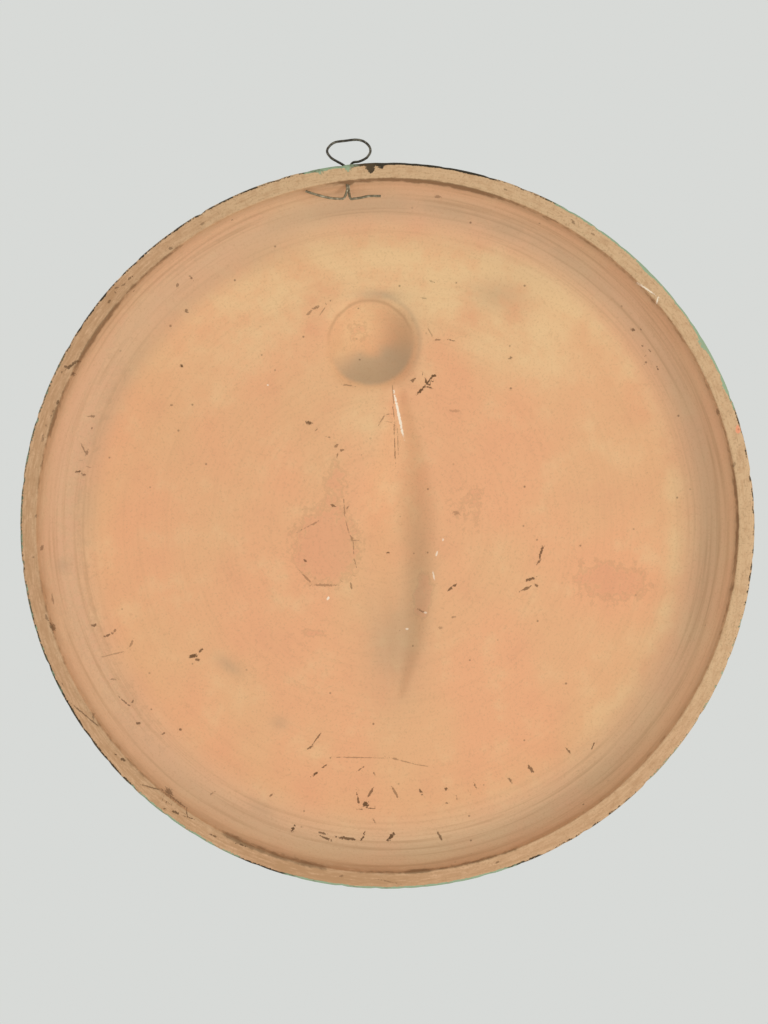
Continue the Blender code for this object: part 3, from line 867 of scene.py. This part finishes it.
def hollow_rings(tree, tone, flat, patches):
    """The tone with a brown line round the round hollow's upper edge, a faint ring outside it, and grey
    towards its lower side.
    """
    inputs = {0: flat, 1: (-FLOWER_X, 0.0, -FLOWER_Y)}
    gap = add_node(tree, "ShaderNodeVectorMath", inputs, operation="ADD").outputs[0]
    heading = add_node(tree, "ShaderNodeVectorMath", {0: gap}, operation="NORMALIZE").outputs[0]
    gap = add_node(tree, "ShaderNodeVectorMath", {0: gap}, operation="LENGTH").outputs["Value"]
    gap = combine(tree, "ADD", part_of(tree, gap, 1 / ROUND_HOLLOW_RADIUS), part_of(tree, patches, 0.16))
    edge = fade(tree, combine(tree, "ABSOLUTE", combine(tree, "SUBTRACT", gap, 1.03)), 0.06, 0.0, 0.45)
    edge = part_of(tree, edge, one_side(tree, heading, -0.1, 1.0, -0.1, 0.6))
    tone = mix(tree, edge, tone, BROWN)
    outer = fade(tree, combine(tree, "ABSOLUTE", combine(tree, "SUBTRACT", gap, 1.21)), 0.09, 0.0, 0.22)
    outer = part_of(tree, outer, one_side(tree, heading, 0.85, 0.5, 0.2, 0.9))
    tone = mix(tree, outer, tone, GRIME_AND_SHADE)
    # Greyer towards the lower side of the round hollow.
    lower_grey = part_of(tree, fade(tree, gap, 1.12, 0.98), one_side(tree, heading, 0.25, -1.0, -0.1, 0.8))
    lower_grey = part_of(tree, lower_grey, fade(tree, gap, 0.15, 0.55, 0.7))
    return mix(tree, lower_grey, tone, LOW_GREY)


def clay_patterns(tree):
    """The noises and zones that the clay's colour functions share, centred on the plaque."""
    place = add_node(tree, "ShaderNodeTexCoord").outputs["Object"]
    inputs = {"Vector": place, "Location": (-CENTRE_X, 0, -CENTRE_Z)}
    where = add_node(tree, "ShaderNodeMapping", inputs).outputs["Vector"]
    inputs = {0: where, 1: (1, 0, 1)}
    flat = add_node(tree, "ShaderNodeVectorMath", inputs, operation="MULTIPLY").outputs[0]
    heading = add_node(tree, "ShaderNodeVectorMath", {0: flat}, operation="NORMALIZE").outputs[0]
    reach = read_mask(tree, "reach")
    wear = noise(tree, where, scale=190.0, detail=3.0, roughness=0.65)
    return SimpleNamespace(
        where=where,
        flat=flat,
        wear=wear,
        streaks=ring_noise(tree, heading, reach, along=1.8, across=100.0),
        scuffs=ring_noise(tree, heading, reach, along=26.0, across=190.0),
        patches=noise(tree, where, scale=38.0, detail=4.0, roughness=0.62),
        grain=noise(tree, where, scale=900.0, detail=2.0, roughness=0.6),
        pinkness=combine(tree, "ADD", read_mask(tree, "pink"), part_of(tree, wear, 1.1)),
        wall=fade(tree, reach, 0.78, 0.90),
        rim=fade(tree, reach, 0.951, 0.957),
    )


def bare_tone(tree, pattern):
    """Bare clay: clouds of buff, pink and cream, and scuffed patches of rose with a brown edge."""
    tone = mix(tree, fade(tree, read_mask(tree, "cloud"), 0.2, 0.8), BUFF, PINK_BUFF)
    tone = mix(tree, fade(tree, pattern.patches, 0.48, 0.78, 0.6), tone, CREAM)
    tone = mix(tree, fade(tree, pattern.patches, 0.5, 0.25, 0.28), tone, ROSE)
    # The cream mask also carries the painted highlight on the rim's inner edge.
    creamy = part_of(tree, read_mask(tree, "cream"), fade(tree, pattern.patches, 0.2, 0.7, 0.95))
    tone = mix(tree, creamy, tone, CREAM)
    tone = mix(tree, fade(tree, pattern.pinkness, 0.92, 1.15, 0.45), tone, ROSE)
    patch_edge = fade(tree, pattern.pinkness, 0.84, 0.95, 0.26)
    patch_edge = part_of(tree, patch_edge, fade(tree, pattern.pinkness, 1.06, 0.95))
    return mix(tree, patch_edge, tone, BROWN)


def soiled_tone(tree, pattern, tone):
    """A greyer, streaked wall, dull dirt with painted shade, the round hollow's rings, and brown grain all
    over.
    """
    tone = mix(tree, part_of(tree, pattern.wall, 0.55), tone, WALL_BUFF)
    streaky = fade(tree, pattern.streaks, 0.45, 0.78, 0.6)
    streaky = part_of(tree, streaky, combine(tree, "MAXIMUM", pattern.wall, 0.18))
    tone = mix(tree, streaky, tone, BROWN)
    # Darker patches, with painted shade under the rim and on the hollows' right-hand slopes.
    grimy_and_shaded = part_of(tree, read_mask(tree, "grime_and_shade"), fade(tree, pattern.patches, 0.10, 0.55, 0.9))
    tone = mix(tree, grimy_and_shaded, tone, GRIME_AND_SHADE)
    tone = hollow_rings(tree, tone, pattern.flat, pattern.patches)
    return mix(tree, fade(tree, pattern.grain, 0.50, 0.75, 0.28), tone, BROWN)


def rim_tone(tree, pattern, tone):
    """A tan rim with scuffs, grain and blotches, browned in places, and dark by its inner edge with stains
    and painted shadow.
    """
    browned = read_mask(tree, "browned")
    tone = mix(tree, part_of(tree, pattern.rim, fade(tree, browned, 1.05, 0.0, 0.8)), tone, TAN)
    scuffed = part_of(tree, pattern.rim, fade(tree, pattern.scuffs, 0.45, 0.75, 0.6))
    tone = mix(tree, scuffed, tone, BROWN)
    grainy = part_of(tree, pattern.rim, fade(tree, pattern.grain, 0.52, 0.70, 0.30))
    tone = mix(tree, grainy, tone, STAIN)
    blotchy = part_of(tree, pattern.rim, fade(tree, pattern.wear, 0.48, 0.66, 0.35))
    tone = mix(tree, blotchy, tone, BROWN)
    handled = part_of(tree, browned, fade(tree, pattern.scuffs, 0.15, 0.6, 0.9))
    tone = mix(tree, handled, tone, BROWN)
    tone = mix(tree, fade(tree, pattern.pinkness, 1.62, 1.85, 0.8), tone, SALMON)
    # Dark stains by the rim's inner edge, with painted shadow under it and in the wire's hole.
    sooty_and_shaded = combine(tree, "ADD", read_mask(tree, "soot_and_rim_shadow"), part_of(tree, pattern.wear, 0.9))
    return mix(tree, fade(tree, sooty_and_shaded, 0.66, 1.1, 0.8), tone, STAIN)


def mark_masks(tree, pattern):
    """Masks of the dark marks and of the pale ones."""
    ragged = combine(tree, "SUBTRACT", combine(tree, "ADD", pattern.grain, pattern.wear), 1.0)
    ragged = part_of(tree, ragged, 3.6)
    smoother = part_of(tree, ragged, 0.4)
    dark = marks_mask(tree, "dark_one", ragged)
    dark = combine(tree, "MAXIMUM", dark, marks_mask(tree, "dark_two", ragged))
    dark = combine(tree, "MAXIMUM", dark, marks_mask(tree, "dark_three", ragged))
    pale = marks_mask(tree, "pale_one", smoother)
    pale = combine(tree, "MAXIMUM", pale, marks_mask(tree, "pale_two", smoother))
    return dark, pale


def pit_mask(tree, pattern):
    """Mask of small pits: the middles of some of the cells of a Voronoi pattern, on bare clay."""
    inputs = {"Vector": pattern.where, "Scale": 130.0, "Randomness": 1.0}
    cells = add_node(tree, "ShaderNodeTexVoronoi", inputs)
    chance = add_node(tree, "ShaderNodeSeparateColor", {0: cells.outputs["Color"]}).outputs[0]
    pits = part_of(tree, fade(tree, cells.outputs["Distance"], 0.11, 0.04), fade(tree, chance, 0.66, 0.95))
    return part_of(tree, pits, fade(tree, read_mask(tree, "painted"), 0.5, 0.3, 0.6))


def painted_tone(tree, pattern, tone):
    """Dark bronze paint with verdigris over the clay, broken by wear and grain."""
    broken = combine(tree, "ADD", part_of(tree, pattern.wear, 0.7), part_of(tree, pattern.grain, 0.5))
    cover = combine(tree, "ADD", read_mask(tree, "painted"), broken)
    cover = combine(tree, "SUBTRACT", cover, part_of(tree, read_mask(tree, "worn"), 0.62))
    greenness = combine(tree, "ADD", read_mask(tree, "verdigris"), part_of(tree, pattern.wear, 1.4))
    paint = mix(tree, fade(tree, pattern.patches, 0.42, 0.62), PAINT_DARK, PAINT_BROWN)
    paint = mix(tree, fade(tree, greenness, 1.05, 1.45, 0.9), paint, PAINT_GREEN)
    return mix(tree, fade(tree, cover, 0.98, 1.08), tone, paint)


def clay_material():
    """Matt fired clay with its dirt, marks and pits, and the old paint of the front over it."""
    material = bpy.data.materials.new("fired_clay")
    material.use_nodes = True
    tree = material.node_tree
    shader = tree.nodes["Principled BSDF"]
    pattern = clay_patterns(tree)
    tone = bare_tone(tree, pattern)
    tone = soiled_tone(tree, pattern, tone)
    tone = rim_tone(tree, pattern, tone)
    dark, pale = mark_masks(tree, pattern)
    # Dark marks and pits; the marks include the painted shade lines along the spalled patch's edge.
    tone = mix(tree, combine(tree, "MAXIMUM", part_of(tree, dark, 0.9), pit_mask(tree, pattern)), tone, SOOT_AND_SHADE)
    tone = mix(tree, pale, tone, CHALK)
    tone = painted_tone(tree, pattern, tone)
    tree.links.new(tone, shader.inputs["Base Color"])
    shader.inputs["Roughness"].default_value = 0.88
    shader.inputs["Specular IOR Level"].default_value = 0.25

    height = part_of(tree, pattern.grain, 0.14)
    height = combine(tree, "ADD", height, part_of(tree, part_of(tree, pattern.streaks, 0.25), pattern.wall))
    height = combine(tree, "SUBTRACT", height, part_of(tree, dark, 0.4))
    bump = add_node(tree, "ShaderNodeBump", {"Height": height, "Strength": 0.6, "Distance": 0.6 * MM})
    tree.links.new(bump.outputs["Normal"], shader.inputs["Normal"])
    return material


plaque_mesh.materials.append(clay_material())
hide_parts("plaque")
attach(plaque, "root")

# Hanging wire: a soft steel wire, bent double, pushed up through a hole under the rim.
# Its loop stands over the rim, and its two legs are bent apart inside the dish.
WIRE_RADIUS = 0.7 * MM
WIRE_GAP = 0.4 * MM
WIRE_SIDES = 14
WIRE_WEAR = 0.04
WEAR_PACE = 0.7
ROUTE_STATIONS = 9
HOLE_X = -21.6 * MM
HOLE_DEPTH = 8.0 * MM
LOOP_RISE = 14.2 * MM
LOOP_LEFT = 11.3 * MM
LOOP_RIGHT = 12.3 * MM
LOOP_LEAN = 2.0 * MM
LOOP_SHAPE = [
    (-0.23, 0.04),
    (-0.52, 0.17),
    (-0.81, 0.31),
    (-1.00, 0.53),
    (-0.92, 0.72),
    (-0.63, 0.89),
    (-0.13, 0.95),
    (0.38, 0.99),
    (0.72, 0.92),
    (0.95, 0.74),
    (1.00, 0.55),
    (0.92, 0.40),
    (0.78, 0.28),
    (0.50, 0.17),
    (0.21, 0.12),
]
LEG_DROP = 6.4 * MM
LEG_TIP_DEPTH = 3.5 * MM
LEFT_LEG = 23.0 * MM
RIGHT_LEG = 18.0 * MM
STRAND_SHIFT = 0.5 * MM
STRAND_SINK = 1.5 * MM
LEFT_LEG_SHAPE = [
    (0.10, -0.35, 0.00),
    (0.25, -0.50, 0.10),
    (0.40, -0.42, 0.28),
    (0.60, -0.08, 0.55),
    (0.85, 0.55, 0.86),
    (1.00, 1.00, 1.00),
]
RIGHT_LEG_SHAPE = [
    (0.08, -0.42, 0.00),
    (0.20, -0.46, 0.05),
    (0.40, -0.28, 0.12),
    (0.65, 0.05, 0.27),
    (1.00, 0.00, 0.44),
]


def edge_height(reach, x):
    """Height above the plaque's centre, at x, of the oval that has this half width."""
    return HALF_HEIGHT * reach / HALF_WIDTH * math.sqrt(1 - (x / reach) ** 2)


def inner_radius(depth_below):
    """Radius of the dish's wall at a depth below the rim, from the same curve as its section."""
    return (HALF_WIDTH - RIM_WIDTH) * (1 - (depth_below / DISH_DEPTH) ** 2) ** (1 / INNER_SQUARENESS)


def leg_points(length, shape, bend, tip):
    """Points from the bend outwards; each gives shares of the length, the rise and the depth."""
    points = []
    for along, rise, forward in shape:
        sunk = HOLE_DEPTH + forward * (LEG_TIP_DEPTH - HOLE_DEPTH)
        points.append((HOLE_X + along * length, bend + rise * (tip - bend), sunk))
    return points


def wire_route():
    """Centre line: left leg's tip, up through the hole, round the loop, down, right leg's tip."""
    mouth = edge_height(HALF_WIDTH, HOLE_X)
    inside_height = edge_height(inner_radius(HOLE_DEPTH), HOLE_X)
    bend = inside_height - LEG_DROP
    tip = edge_height(inner_radius(LEG_TIP_DEPTH), HOLE_X - LEFT_LEG) - WIRE_RADIUS - WIRE_GAP
    rises = ((bend + inside_height) / 2, inside_height, (inside_height + mouth) / 2, mouth - STRAND_SINK)
    nearer = HOLE_DEPTH - WIRE_RADIUS
    farther = HOLE_DEPTH + WIRE_RADIUS
    left = [*reversed(leg_points(-LEFT_LEG, LEFT_LEG_SHAPE, bend, tip))]
    left = left + [(HOLE_X - STRAND_SHIFT, rise, nearer) for rise in rises]
    loop = []
    for across, rise in LOOP_SHAPE:
        reach = LOOP_LEFT if across < 0 else LOOP_RIGHT
        loop.append((HOLE_X + across * reach, mouth + rise * LOOP_RISE, HOLE_DEPTH - LOOP_LEAN * rise))
    right = [(HOLE_X + STRAND_SHIFT, rise, farther) for rise in reversed(rises)]
    right = right + leg_points(RIGHT_LEG, RIGHT_LEG_SHAPE, bend, tip)
    path = smooth_path([*left, *loop, *right], ROUTE_STATIONS)
    return np.column_stack([CENTRE_X + path[:, 0], RIM_Y + path[:, 2], CENTRE_Z + path[:, 1]])


def tube_mesh(name, path, width, sides):
    """A tube round a path: each ring lies square to the path, carried on from ring to ring."""
    heading = np.gradient(path, axis=0)
    heading = heading / np.linalg.norm(heading, axis=1)[:, None]
    side = np.cross(heading, (0.0, 1.0, 0.0))
    side = side / np.linalg.norm(side, axis=1)[:, None]
    other = np.cross(heading, side)
    turn = np.linspace(0.0, math.tau, sides, endpoint=False)
    rings = path[:, None] + width[:, None, None] * (
        np.cos(turn)[None, :, None] * side[:, None] + np.sin(turn)[None, :, None] * other[:, None]
    )
    grid = np.arange(len(path) * sides).reshape(len(path), sides)
    following = np.roll(grid, -1, axis=1)
    quads = np.stack([grid[:-1], following[:-1], following[1:], grid[1:]], axis=-1).reshape(-1, 4)
    mesh = bpy.data.meshes.new(name)
    mesh.from_pydata(rings.reshape(-1, 3), [], [*quads.tolist(), grid[0][::-1].tolist(), grid[-1].tolist()])
    mesh.shade_smooth()
    return mesh


GREY_TOP = -18.0 * MM
GREY_FOOT = -24.0 * MM
DULL_BLACK = colour(62, 56, 48)
DULL_GREY = colour(126, 116, 92)
RUBBED_BLACK = colour(112, 106, 92)
RUBBED_GREY = colour(176, 166, 140)
CRUST = colour(178, 172, 156)


def wire_material():
    """Steel gone dull: brown-black outside, lighter grey under the rim, partly a painted highlight on the
    legs, rubbed, with pale crusts.
    """
    material = bpy.data.materials.new("dull_steel_wire")
    material.use_nodes = True
    tree = material.node_tree
    shader = tree.nodes["Principled BSDF"]
    place = add_node(tree, "ShaderNodeTexCoord").outputs["Object"]
    blotches = noise(tree, place, scale=420.0, detail=4.0, roughness=0.6)
    crust = noise(tree, place, scale=900.0, detail=3.0, roughness=0.6)
    height = add_node(tree, "ShaderNodeSeparateXYZ", {0: place}).outputs["Z"]
    # Lighter grey under the rim: the wire's own tone there, together with a painted highlight on the legs.
    greyer_and_highlit = fade(tree, height, GREY_TOP, GREY_FOOT)
    dull = mix(tree, greyer_and_highlit, DULL_BLACK, DULL_GREY)
    rubbed = mix(tree, greyer_and_highlit, RUBBED_BLACK, RUBBED_GREY)
    tone = mix(tree, fade(tree, blotches, 0.45, 0.65), dull, rubbed)
    tone = mix(tree, fade(tree, crust, 0.62, 0.72, 0.7), tone, CRUST)
    tree.links.new(tone, shader.inputs["Base Color"])
    shader.inputs["Metallic"].default_value = 0.6
    shader.inputs["Roughness"].default_value = 0.5
    bump = add_node(tree, "ShaderNodeBump", {"Height": crust, "Strength": 0.4, "Distance": 0.1 * MM})
    tree.links.new(bump.outputs["Normal"], shader.inputs["Normal"])
    return material


route = wire_route()
worn_share = (1 + np.sin(np.arange(len(route)) * WEAR_PACE)) / 2
thickness = WIRE_RADIUS * (1 - WIRE_WEAR * worn_share)
wire_mesh = tube_mesh("hanging_wire_steel", route, thickness, WIRE_SIDES)
wire_mesh.materials.append(wire_material())
wire = bpy.data.objects.new("hanging_wire_steel", wire_mesh)
bpy.context.collection.objects.link(wire)
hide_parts("hanging_wire")
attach(wire, "root")

# Studio: a pale floor well below the hanging plaque, soft daylight from all round,
# and large soft lamps on both sides of the plaque.
FLOOR_Z = -1.2
FLOOR_RADIUS = 3.0
FLOOR_SIDES = 96
FLOOR_GREY = (0.66, 0.66, 0.65, 1.0)
DAYLIGHT_GREY = (0.685, 0.70, 0.68, 1.0)


def floor_material():
    """A matt pale grey floor."""
    material = bpy.data.materials.new("pale_floor")
    material.use_nodes = True
    shader = material.node_tree.nodes["Principled BSDF"]
    shader.inputs["Base Color"].default_value = FLOOR_GREY
    shader.inputs["Roughness"].default_value = 0.9
    return material


turn = np.linspace(0.0, math.tau, FLOOR_SIDES, endpoint=False)
floor_edge = FLOOR_RADIUS * np.column_stack([np.cos(turn), np.sin(turn)])
floor_edge = np.column_stack([floor_edge, np.full(FLOOR_SIDES, FLOOR_Z)])
floor_mesh = bpy.data.meshes.new("studio_floor")
floor_mesh.from_pydata(floor_edge, [], [list(range(FLOOR_SIDES))])
floor_mesh.materials.append(floor_material())
studio_floor = bpy.data.objects.new("studio_floor", floor_mesh)
bpy.context.collection.objects.link(studio_floor)

world = bpy.data.worlds.new("studio")
world.use_nodes = True
sky = world.node_tree.nodes["Background"]
sky.inputs["Color"].default_value = DAYLIGHT_GREY
sky.inputs["Strength"].default_value = 1.0
bpy.context.scene.world = world
bpy.context.scene.view_settings.view_transform = "Standard"


def add_lamp(name, right, up, away, width, power):
    """A square soft lamp aimed at the plaque's centre; away is from the rim, out of the open back."""
    lamp = bpy.data.lights.new(name, "AREA")
    lamp.size = width
    lamp.energy = power
    item = bpy.data.objects.new(name, lamp)
    bpy.context.collection.objects.link(item)
    item.location = (CENTRE_X + right, RIM_Y - away, CENTRE_Z + up)
    aim = item.location.copy()
    aim.x -= CENTRE_X
    aim.y -= RIM_Y
    aim.z -= CENTRE_Z
    item.rotation_euler = aim.to_track_quat("Z", "Y").to_euler()


add_lamp("key_lamp", right=1.15, up=-0.25, away=1.15, width=0.7, power=10.0)
add_lamp("fill_lamp", right=-0.9, up=-0.7, away=1.2, width=0.9, power=4.6)
add_lamp("front_lamp", right=-1.2, up=1.0, away=-1.1, width=0.9, power=16.0)

# Camera: level and straight on to the open back, 1.3 m from the rim.
# Its angle takes in the whole height of the upright picture.
CAMERA_PLACE = (0.016677, -1.306, -0.202745)
CAMERA_ANGLE = math.radians(24.17)
camera_data = bpy.data.cameras.new("photo_camera")
camera_data.sensor_fit = "VERTICAL"
camera_data.angle = CAMERA_ANGLE
camera = bpy.data.objects.new("photo_camera", camera_data)
bpy.context.collection.objects.link(camera)
camera.location = CAMERA_PLACE
camera.rotation_euler = (math.pi / 2, 0.0, 0.0)
bpy.context.scene.camera = camera
